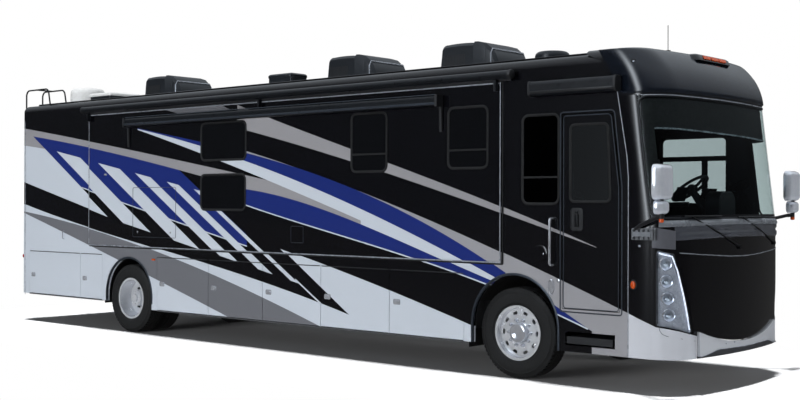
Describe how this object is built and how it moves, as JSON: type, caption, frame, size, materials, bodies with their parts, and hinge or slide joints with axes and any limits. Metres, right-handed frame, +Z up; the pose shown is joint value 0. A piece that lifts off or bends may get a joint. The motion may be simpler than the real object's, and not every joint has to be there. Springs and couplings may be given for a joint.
{
  "type": "motorhome",
  "caption": "Large diesel coach motorhome with sliding rooms, luggage bays, steered front wheels, a swinging entry door and a roof ladder.",
  "frame": {"origin": "on the ground under the middle of the whole vehicle", "axes": "+X forward, +Y to the vehicle's left, +Z up"},
  "size_m": [12.09, 3.39, 3.9202],
  "materials": {
    "body_paint": "gloss metallic with stripes",
    "roof_white": "satin",
    "chassis_black": "satin",
    "engine_grey": "matte",
    "floor_grey": "satin",
    "bay_grey": "satin",
    "clear_glass": "clear",
    "tinted_glass": "dark tint",
    "lamp_lens": "clear lens",
    "tail_lens": "gloss",
    "chrome_trim": "polished",
    "wiper_black": "matte",
    "roof_plastic": "satin",
    "alloy": "polished",
    "awning_case": "satin",
    "dash_plastic": "matte",
    "seat_leather": "grained",
    "step_black": "satin",
    "tyre_rubber": "matte"
  },
  "bodies": {
    "coach": {"chassis_frame": "chassis_black", "engine_block": "engine_grey", "floor": "floor_grey", "luggage_bays": "bay_grey", "side_wall_right": "body_paint", "side_wall_left": "body_paint", "roof": "roof_white", "front_cap": "body_paint", "rear_cap": "body_paint", "front_bumper": "body_paint", "windshield": "clear_glass", "coach_glass": "tinted_glass", "headlamps": "lamp_lens", "tail_lamps": "tail_lens", "mirrors": "chrome_trim", "wipers": "wiper_black", "roof_air_conditioners": "roof_plastic", "roof_fittings": "roof_plastic", "ladder": "alloy", "grab_handle": "chrome_trim", "door_awning": "awning_case", "dashboard": "dash_plastic", "steering_wheel": "dash_plastic", "seats": "seat_leather", "front_axle": "chassis_black", "rear_axle": "chassis_black", "tow_receiver": "chassis_black"},
    "entry_door": {"entry_door": "body_paint", "entry_door_glass": "tinted_glass"},
    "entry_step": {"entry_step": "step_black"},
    "engine_door": {"engine_door": "body_paint"},
    "slide_right": {"slide_room_right": "body_paint", "slide_glass_right": "tinted_glass", "slide_awnings": "awning_case"},
    "slide_left": {"slide_room_left": "body_paint", "slide_glass_left": "tinted_glass"},
    "tie_rod": {"tie_rod": "chassis_black"},
    "knuckle_right": {"knuckle_right": "chassis_black"},
    "knuckle_left": {"knuckle_left": "chassis_black"},
    "front_wheel_right": {"front_wheel_right": "alloy", "front_tyre_right": "tyre_rubber"},
    "front_wheel_left": {"front_wheel_left": "alloy", "front_tyre_left": "tyre_rubber"},
    "rear_wheels_right": {"rear_wheel_right": "alloy", "rear_tyre_right": "tyre_rubber"},
    "rear_wheels_left": {"rear_wheel_left": "alloy", "rear_tyre_left": "tyre_rubber"},
    "bay_door_right_1": {"bay_door_right_1": "body_paint"},
    "bay_door_right_2": {"bay_door_right_2": "body_paint"},
    "bay_door_right_3": {"bay_door_right_3": "body_paint"},
    "bay_door_right_4": {"bay_door_right_4": "body_paint"},
    "bay_door_right_5": {"bay_door_right_5": "body_paint"},
    "bay_door_right_6": {"bay_door_right_6": "body_paint"},
    "bay_door_right_7": {"bay_door_right_7": "body_paint"},
    "bay_door_left_1": {"bay_door_left_1": "body_paint"},
    "bay_door_left_2": {"bay_door_left_2": "body_paint"},
    "bay_door_left_3": {"bay_door_left_3": "body_paint"},
    "bay_door_left_4": {"bay_door_left_4": "body_paint"},
    "bay_door_left_5": {"bay_door_left_5": "body_paint"}
  },
  "joints": [
    {"name": "steer_right", "type": "hinge", "parent": "coach", "child": "knuckle_right", "pos_m": [3.955, -0.9, 0.505], "axis": [0, 0, 1], "range_deg": [-45, 45]},
    {"name": "steer_left", "type": "hinge", "parent": "coach", "child": "knuckle_left", "pos_m": [3.955, 0.9, 0.505], "axis": [0, 0, 1], "range_deg": [-45, 45]},
    {"name": "tie_rod_swing", "type": "hinge", "parent": "knuckle_right", "child": "tie_rod", "pos_m": [3.755, -0.9, 0.35], "axis": [0, 0, 1], "range_deg": [-45, 45]},
    {"name": "front_spin_right", "type": "hinge", "parent": "knuckle_right", "child": "front_wheel_right", "pos_m": [3.955, -1.088, 0.505], "axis": [0, 1, 0], "continuous": true},
    {"name": "front_spin_left", "type": "hinge", "parent": "knuckle_left", "child": "front_wheel_left", "pos_m": [3.955, 1.088, 0.505], "axis": [0, 1, 0], "continuous": true},
    {"name": "rear_spin_right", "type": "hinge", "parent": "coach", "child": "rear_wheels_right", "pos_m": [-3.055, -1.112, 0.505], "axis": [0, 1, 0], "continuous": true},
    {"name": "rear_spin_left", "type": "hinge", "parent": "coach", "child": "rear_wheels_left", "pos_m": [-3.055, 1.112, 0.505], "axis": [0, 1, 0], "continuous": true},
    {"name": "entry_door_swing", "type": "hinge", "parent": "coach", "child": "entry_door", "pos_m": [5.268, -1.273, 1.8], "axis": [0, 0, 1], "range_deg": [0, 90]},
    {"name": "entry_step_slide", "type": "slide", "parent": "coach", "child": "entry_step", "axis": [0, -1, 0], "range_m": [0, 0.32]},
    {"name": "engine_door_swing", "type": "hinge", "parent": "coach", "child": "engine_door", "pos_m": [-5.968, 0, 1.113], "axis": [0, 1, 0], "range_deg": [0, 80]},
    {"name": "slide_right_out", "type": "slide", "parent": "coach", "child": "slide_right", "axis": [0, -1, 0], "range_m": [0, 0.72]},
    {"name": "slide_left_out", "type": "slide", "parent": "coach", "child": "slide_left", "axis": [0, 1, 0], "range_m": [0, 0.72]},
    {"name": "bay_door_right_1_swing", "type": "hinge", "parent": "coach", "child": "bay_door_right_1", "pos_m": [3.25, -1.273, 0.75], "axis": [0, 0, 1], "range_deg": [0, 90]},
    {"name": "bay_door_right_2_swing", "type": "hinge", "parent": "coach", "child": "bay_door_right_2", "pos_m": [2.112, -1.273, 0.75], "axis": [0, 0, 1], "range_deg": [0, 90]},
    {"name": "bay_door_right_3_swing", "type": "hinge", "parent": "coach", "child": "bay_door_right_3", "pos_m": [0.953, -1.273, 0.75], "axis": [0, 0, 1], "range_deg": [0, 90]},
    {"name": "bay_door_right_4_swing", "type": "hinge", "parent": "coach", "child": "bay_door_right_4", "pos_m": [-0.135, -1.273, 0.75], "axis": [0, 0, 1], "range_deg": [0, 90]},
    {"name": "bay_door_right_5_swing", "type": "hinge", "parent": "coach", "child": "bay_door_right_5", "pos_m": [-1.243, -1.273, 0.75], "axis": [0, 0, 1], "range_deg": [0, 90]},
    {"name": "bay_door_right_6_swing", "type": "hinge", "parent": "coach", "child": "bay_door_right_6", "pos_m": [-3.736, -1.273, 0.75], "axis": [0, 0, 1], "range_deg": [0, 90]},
    {"name": "bay_door_right_7_swing", "type": "hinge", "parent": "coach", "child": "bay_door_right_7", "pos_m": [-4.316, -1.273, 0.75], "axis": [0, 0, 1], "range_deg": [0, 90]},
    {"name": "bay_door_left_1_swing", "type": "hinge", "parent": "coach", "child": "bay_door_left_1", "pos_m": [3.25, 1.273, 0.75], "axis": [0, 0, -1], "range_deg": [0, 90]},
    {"name": "bay_door_left_2_swing", "type": "hinge", "parent": "coach", "child": "bay_door_left_2", "pos_m": [1.84, 1.273, 0.75], "axis": [0, 0, -1], "range_deg": [0, 90]},
    {"name": "bay_door_left_3_swing", "type": "hinge", "parent": "coach", "child": "bay_door_left_3", "pos_m": [0.429, 1.273, 0.75], "axis": [0, 0, -1], "range_deg": [0, 90]},
    {"name": "bay_door_left_4_swing", "type": "hinge", "parent": "coach", "child": "bay_door_left_4", "pos_m": [-0.981, 1.273, 0.75], "axis": [0, 0, -1], "range_deg": [0, 90]},
    {"name": "bay_door_left_5_swing", "type": "hinge", "parent": "coach", "child": "bay_door_left_5", "pos_m": [-4.316, 1.273, 0.75], "axis": [0, 0, -1], "range_deg": [0, 90]}
  ],
  "couplings": [
    {"joint": "steer_left", "follows": "steer_right", "ratio": 1},
    {"joint": "tie_rod_swing", "follows": "steer_right", "ratio": -1}
  ]
}
